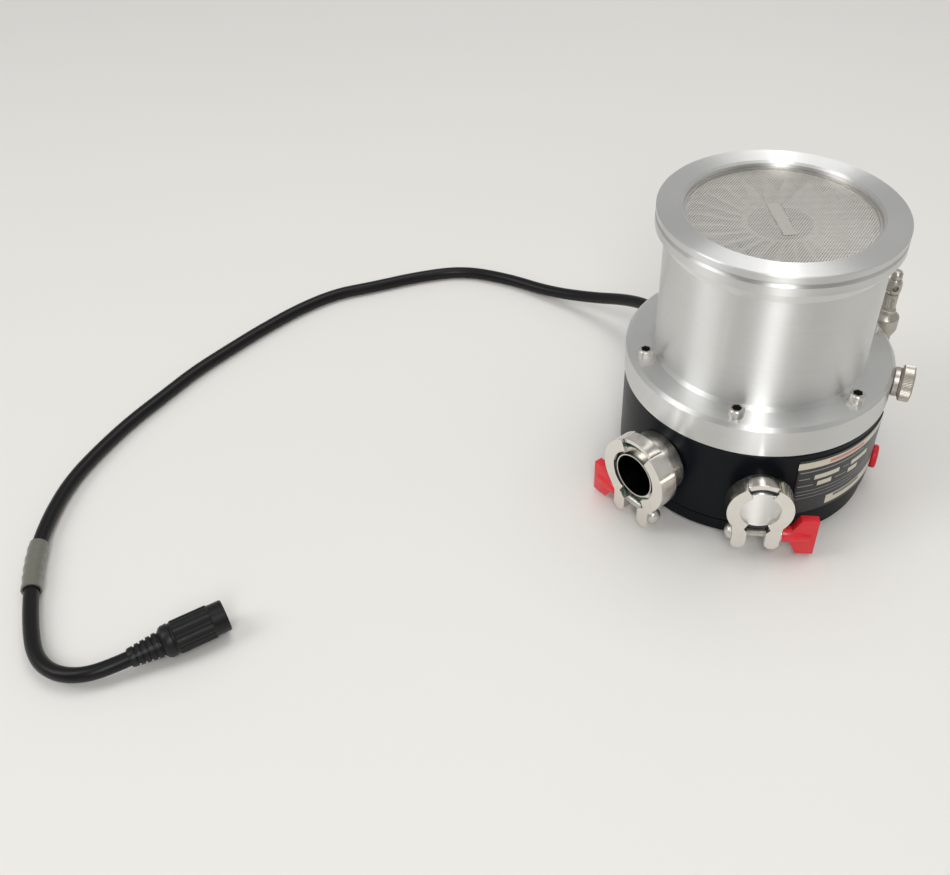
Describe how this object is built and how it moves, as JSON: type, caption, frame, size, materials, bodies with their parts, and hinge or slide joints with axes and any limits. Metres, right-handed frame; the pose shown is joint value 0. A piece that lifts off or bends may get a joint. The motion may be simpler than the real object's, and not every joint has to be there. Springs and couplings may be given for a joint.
{
  "type": "turbomolecular pump",
  "caption": "Turbomolecular pump with a bladed rotor in an aluminium body, screened inlet flange, black base with clamped small-flange ports, vent valve and captive cable.",
  "frame": {"origin": "where the pump axis meets the rest face under the base cover", "axes": "+Z along the pump axis towards the inlet, -Y through the middle of the blanked purge port, +X to the right of that port seen from the front"},
  "size_m": [0.4901, 0.3876, 0.168],
  "materials": {
    "aluminium": "turned and brushed aluminium",
    "black_anodised": "satin black anodising",
    "label_foil": "printed foil",
    "screw_steel": "bright steel",
    "screen_steel": "etched stainless sheet",
    "rotor_aluminium": "machined aluminium",
    "bearing_steel": "ground steel",
    "magnet": "ground magnet",
    "potted_coil": "potted winding",
    "turned_steel": "turned stainless steel",
    "seal_rubber": "dark green seal rubber",
    "polished_clamp": "polished cast metal",
    "bolt_steel": "bright steel",
    "red_plastic": "moulded red plastic",
    "nickel": "nickel plate",
    "vent_pad": "bright steel",
    "gland": "moulded black plastic",
    "cable_jacket": "black cable jacket",
    "clear_sleeve": "clear grey sleeve"
  },
  "bodies": {
    "pump": {"pump_envelope": "aluminium", "base_housing": "black_anodised", "base_cover": "black_anodised", "nameplate": "label_foil", "envelope_screws": "screw_steel", "base_cover_screws": "screw_steel", "inlet_screen": "screen_steel", "screen_retaining_ring": "screen_steel", "stator_stage_1": "rotor_aluminium", "stator_stage_2": "rotor_aluminium", "drag_stator": "rotor_aluminium", "bearing_outer_rings": "bearing_steel", "bearing_balls": "bearing_steel", "motor_stator": "potted_coil", "backing_port": "turned_steel", "purge_port": "turned_steel", "backing_centring_ring": "turned_steel", "purge_centring_ring": "turned_steel", "purge_cap": "turned_steel", "backing_seal": "seal_rubber", "purge_seal": "seal_rubber", "envelope_seal": "seal_rubber", "backing_clamp_left": "polished_clamp", "backing_clamp_right": "polished_clamp", "backing_clamp_link": "polished_clamp", "purge_clamp_left": "polished_clamp", "purge_clamp_right": "polished_clamp", "purge_clamp_link": "polished_clamp", "backing_bolt": "bolt_steel", "purge_bolt": "bolt_steel", "blanking_plug": "red_plastic", "vent_body": "nickel", "relief_elbow": "nickel", "relief_cup": "nickel", "relief_barrel": "nickel", "relief_head": "nickel", "relief_nut": "nickel", "cable_gland": "gland", "cable_connector": "gland", "cable": "cable_jacket", "cable_sleeve": "clear_sleeve"},
    "rotor": {"rotor_hub": "rotor_aluminium", "rotor_stage_1": "rotor_aluminium", "rotor_stage_2": "rotor_aluminium", "rotor_stage_3": "rotor_aluminium", "drag_rotor": "rotor_aluminium", "rotor_shaft": "bearing_steel", "rotor_bolt": "screw_steel", "motor_magnet": "magnet", "bearing_inner_rings": "bearing_steel"},
    "vent_stem": {"vent_pad": "vent_pad"},
    "vent_knob": {"vent_knob": "nickel"},
    "backing_washer": {"backing_washer": "bolt_steel"},
    "backing_wing_nut": {"backing_wing_nut": "red_plastic"},
    "purge_washer": {"purge_washer": "bolt_steel"},
    "purge_wing_nut": {"purge_wing_nut": "red_plastic"}
  },
  "joints": [
    {"name": "rotor_spin", "type": "hinge", "parent": "pump", "child": "rotor", "pos_m": [0, 0, 0.1], "axis": [0, 0, 1], "continuous": true},
    {"name": "vent_turn", "type": "hinge", "parent": "vent_stem", "child": "vent_knob", "pos_m": [0.07921, -0.02122, 0.0746], "axis": [0.9659, -0.2588, 0], "range_deg": [0, 720]},
    {"name": "vent_lift", "type": "slide", "parent": "pump", "child": "vent_stem", "axis": [0.9659, -0.2588, 0], "range_m": [0, 0.00205]},
    {"name": "backing_nut_turn", "type": "hinge", "parent": "backing_washer", "child": "backing_wing_nut", "pos_m": [-0.06449, -0.06449, 0.0125], "axis": [-0.7071, 0.7071, 0], "range_deg": [0, 720]},
    {"name": "backing_nut_slide", "type": "slide", "parent": "pump", "child": "backing_washer", "axis": [-0.7071, 0.7071, 0], "range_m": [0, 0.00205]},
    {"name": "purge_nut_turn", "type": "hinge", "parent": "purge_washer", "child": "purge_wing_nut", "pos_m": [0, -0.0858, 0.0165], "axis": [1, 0, 0], "range_deg": [0, 720]},
    {"name": "purge_nut_slide", "type": "slide", "parent": "pump", "child": "purge_washer", "axis": [1, 0, 0], "range_m": [0, 0.00205]}
  ],
  "couplings": [
    {"joint": "vent_lift", "follows": "vent_turn", "m_per_rad": 0.00015915},
    {"joint": "backing_nut_slide", "follows": "backing_nut_turn", "m_per_rad": 0.00015915},
    {"joint": "purge_nut_slide", "follows": "purge_nut_turn", "m_per_rad": 0.00015915}
  ]
}
